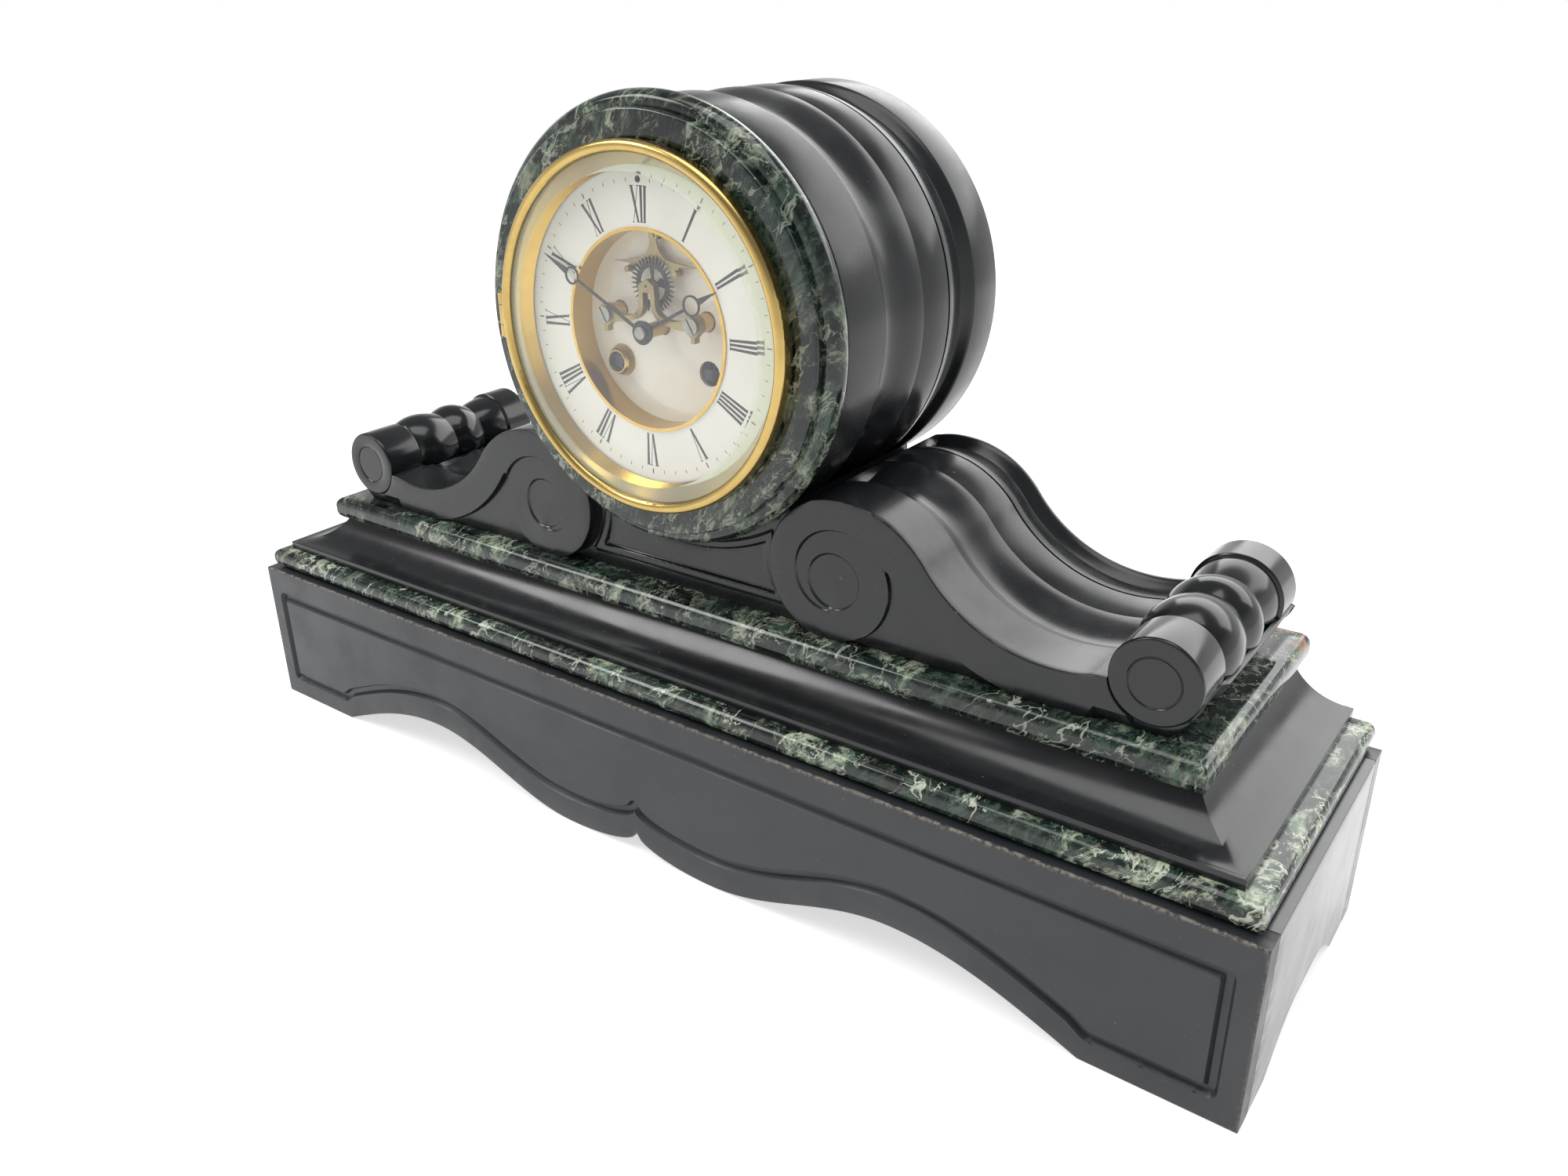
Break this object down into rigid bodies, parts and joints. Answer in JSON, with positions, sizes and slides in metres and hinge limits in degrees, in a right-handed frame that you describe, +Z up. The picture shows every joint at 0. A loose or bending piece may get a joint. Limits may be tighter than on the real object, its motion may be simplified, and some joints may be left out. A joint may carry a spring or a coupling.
{
  "type": "mantel clock",
  "caption": "Slate and green marble mantel clock: drum head with visible escapement between scroll consoles on a stepped plinth with a shaped apron.",
  "frame": {"origin": "middle of the footprint, on the surface that the clock stands on", "axes": "+X to the right of a person facing the dial, +Y towards the back, +Z up; the dial faces -Y"},
  "size_m": [0.52, 0.154, 0.3144],
  "materials": {
    "slate": "polished black slate, satin on the flat faces",
    "green_marble": "polished, pale veins on dark green",
    "brass": "satin brass",
    "polished_brass": "polished and lacquered brass",
    "steel": "bright steel",
    "blued_steel": "blued steel",
    "enamel": "white fired enamel",
    "glass": "clear bevelled plate glass",
    "plaster": "rough bedding plaster"
  },
  "bodies": {
    "case": {"plinth_front": "slate", "plinth_back": "slate", "plinth_side_left": "slate", "plinth_side_right": "slate", "corner_blocks": "plaster", "lower_marble_slab": "green_marble", "cavetto_moulding": "slate", "upper_marble_slab": "green_marble", "scroll_left": "slate", "scroll_right": "slate", "roll_left": "slate", "roll_right": "slate", "drum_cradle": "slate", "drum_front_section": "slate", "drum_rear_section": "slate", "drum_marble_ring": "green_marble", "dial_ring": "polished_brass", "chapter_ring": "enamel", "recess_ring": "polished_brass", "dial_centre": "enamel", "winding_collet": "polished_brass", "hinge_pins": "polished_brass", "movement_straps": "brass", "strap_screws": "steel", "back_ring": "brass", "front_plate": "brass", "back_plate": "brass", "plate_pillars": "brass", "escape_bridge": "brass", "bridge_pillars": "brass", "bridge_screws": "steel", "suspension_cock": "brass", "bell": "steel"},
    "bezel_frame": {"bezel": "polished_brass", "bezel_glass": "glass", "sight_ring": "polished_brass"},
    "door": {"back_door": "brass"},
    "minute_work": {"minute_hand": "blued_steel", "hand_nut": "steel", "cannon_pinion": "steel"},
    "minute_gear": {"minute_wheel": "brass"},
    "hour_work": {"hour_wheel": "brass", "hour_hand": "blued_steel"},
    "escape": {"escape_wheel": "blued_steel"},
    "third": {"third_wheel": "brass"},
    "centre": {"centre_wheel": "brass"},
    "intermediate": {"intermediate_wheel": "brass"},
    "going": {"going_barrel": "brass"},
    "fly_vane": {"fly": "steel"},
    "warning": {"warning_wheel": "brass"},
    "pin": {"pin_wheel": "brass"},
    "strike": {"strike_barrel": "brass"},
    "going_winder": {"going_winding_arbor": "steel"},
    "strike_winder": {"strike_winding_arbor": "steel"},
    "anchor_work": {"anchor": "brass"},
    "pendulum": {"pendulum_rod": "steel", "pendulum_bob": "brass", "rating_nut": "brass"},
    "hammer_work": {"hammer": "brass"},
    "regulator": {"regulator_arbor": "steel"}
  },
  "joints": [
    {"name": "bezel_hinge", "type": "hinge", "parent": "case", "child": "bezel_frame", "pos_m": [-0.0734, -0.0572, 0.2274], "axis": [0, 0, -1], "range_deg": [0, 110]},
    {"name": "back_door_hinge", "type": "hinge", "parent": "case", "child": "door", "pos_m": [-0.069, 0.0756, 0.2274], "axis": [0, 0, 1], "range_deg": [0, 110]},
    {"name": "minute_hand_turn", "type": "hinge", "parent": "case", "child": "minute_work", "pos_m": [0, 0, 0.2274], "axis": [0, 1, 0], "continuous": true},
    {"name": "minute_wheel_turn", "type": "hinge", "parent": "case", "child": "minute_gear", "pos_m": [0, 0, 0.2178], "axis": [0, 1, 0], "continuous": true},
    {"name": "hour_hand_turn", "type": "hinge", "parent": "case", "child": "hour_work", "pos_m": [0, 0, 0.2274], "axis": [0, 1, 0], "continuous": true},
    {"name": "escape_wheel_turn", "type": "hinge", "parent": "case", "child": "escape", "pos_m": [0, 0, 0.2444], "axis": [0, 1, 0], "continuous": true},
    {"name": "third_wheel_turn", "type": "hinge", "parent": "case", "child": "third", "pos_m": [0.00839, 0, 0.23653], "axis": [0, 1, 0], "continuous": true},
    {"name": "centre_wheel_turn", "type": "hinge", "parent": "case", "child": "centre", "pos_m": [0, 0, 0.2274], "axis": [0, 1, 0], "continuous": true},
    {"name": "intermediate_wheel_turn", "type": "hinge", "parent": "case", "child": "intermediate", "pos_m": [0.00218, 0, 0.21418], "axis": [0, 1, 0], "continuous": true},
    {"name": "going_barrel_turn", "type": "hinge", "parent": "case", "child": "going", "pos_m": [0.0223, 0, 0.2115], "axis": [0, 1, 0], "continuous": true},
    {"name": "fly_turn", "type": "hinge", "parent": "case", "child": "fly_vane", "pos_m": [-0.01224, 0, 0.24897], "axis": [0, 1, 0], "continuous": true},
    {"name": "warning_wheel_turn", "type": "hinge", "parent": "case", "child": "warning", "pos_m": [-0.0177, 0, 0.24024], "axis": [0, 1, 0], "continuous": true},
    {"name": "pin_wheel_turn", "type": "hinge", "parent": "case", "child": "pin", "pos_m": [-0.01321, 0, 0.22965], "axis": [0, 1, 0], "continuous": true},
    {"name": "strike_barrel_turn", "type": "hinge", "parent": "case", "child": "strike", "pos_m": [-0.0223, 0, 0.2115], "axis": [0, 1, 0], "continuous": true},
    {"name": "going_winding_turn", "type": "hinge", "parent": "case", "child": "going_winder", "pos_m": [0.0223, 0, 0.2115], "axis": [0, 1, 0], "continuous": true},
    {"name": "strike_winding_turn", "type": "hinge", "parent": "case", "child": "strike_winder", "pos_m": [-0.0223, 0, 0.2115], "axis": [0, 1, 0], "continuous": true},
    {"name": "pendulum_swing", "type": "hinge", "parent": "case", "child": "pendulum", "pos_m": [0, 0.014, 0.2625], "axis": [0, 1, 0], "range_deg": [-2.5, 2.5]},
    {"name": "anchor_rock", "type": "hinge", "parent": "case", "child": "anchor_work", "pos_m": [0, -0.047, 0.2625], "axis": [0, 1, 0], "range_deg": [-2.6, 2.6]},
    {"name": "hammer_lift", "type": "hinge", "parent": "case", "child": "hammer_work", "pos_m": [-0.036, 0.02, 0.2314], "axis": [0, 1, 0], "range_deg": [0, 12], "stiffness_Nm_per_rad": 0.1, "springref_deg": -0.57},
    {"name": "regulator_turn", "type": "hinge", "parent": "case", "child": "regulator", "pos_m": [0, -0.05, 0.2835], "axis": [0, 1, 0], "range_deg": [-180, 180]}
  ],
  "couplings": [
    {"joint": "minute_wheel_turn", "follows": "minute_hand_turn", "ratio": -0.33333},
    {"joint": "hour_hand_turn", "follows": "minute_hand_turn", "ratio": 0.083333},
    {"joint": "third_wheel_turn", "follows": "escape_wheel_turn", "ratio": -0.090909},
    {"joint": "centre_wheel_turn", "follows": "escape_wheel_turn", "ratio": 0.0075758},
    {"joint": "intermediate_wheel_turn", "follows": "escape_wheel_turn", "ratio": -0.0016529},
    {"joint": "going_barrel_turn", "follows": "escape_wheel_turn", "ratio": 0.00026446},
    {"joint": "warning_wheel_turn", "follows": "fly_turn", "ratio": -0.22222},
    {"joint": "pin_wheel_turn", "follows": "fly_turn", "ratio": 0.037037},
    {"joint": "strike_barrel_turn", "follows": "fly_turn", "ratio": -0.0059259},
    {"joint": "anchor_rock", "follows": "pendulum_swing", "ratio": 1}
  ]
}
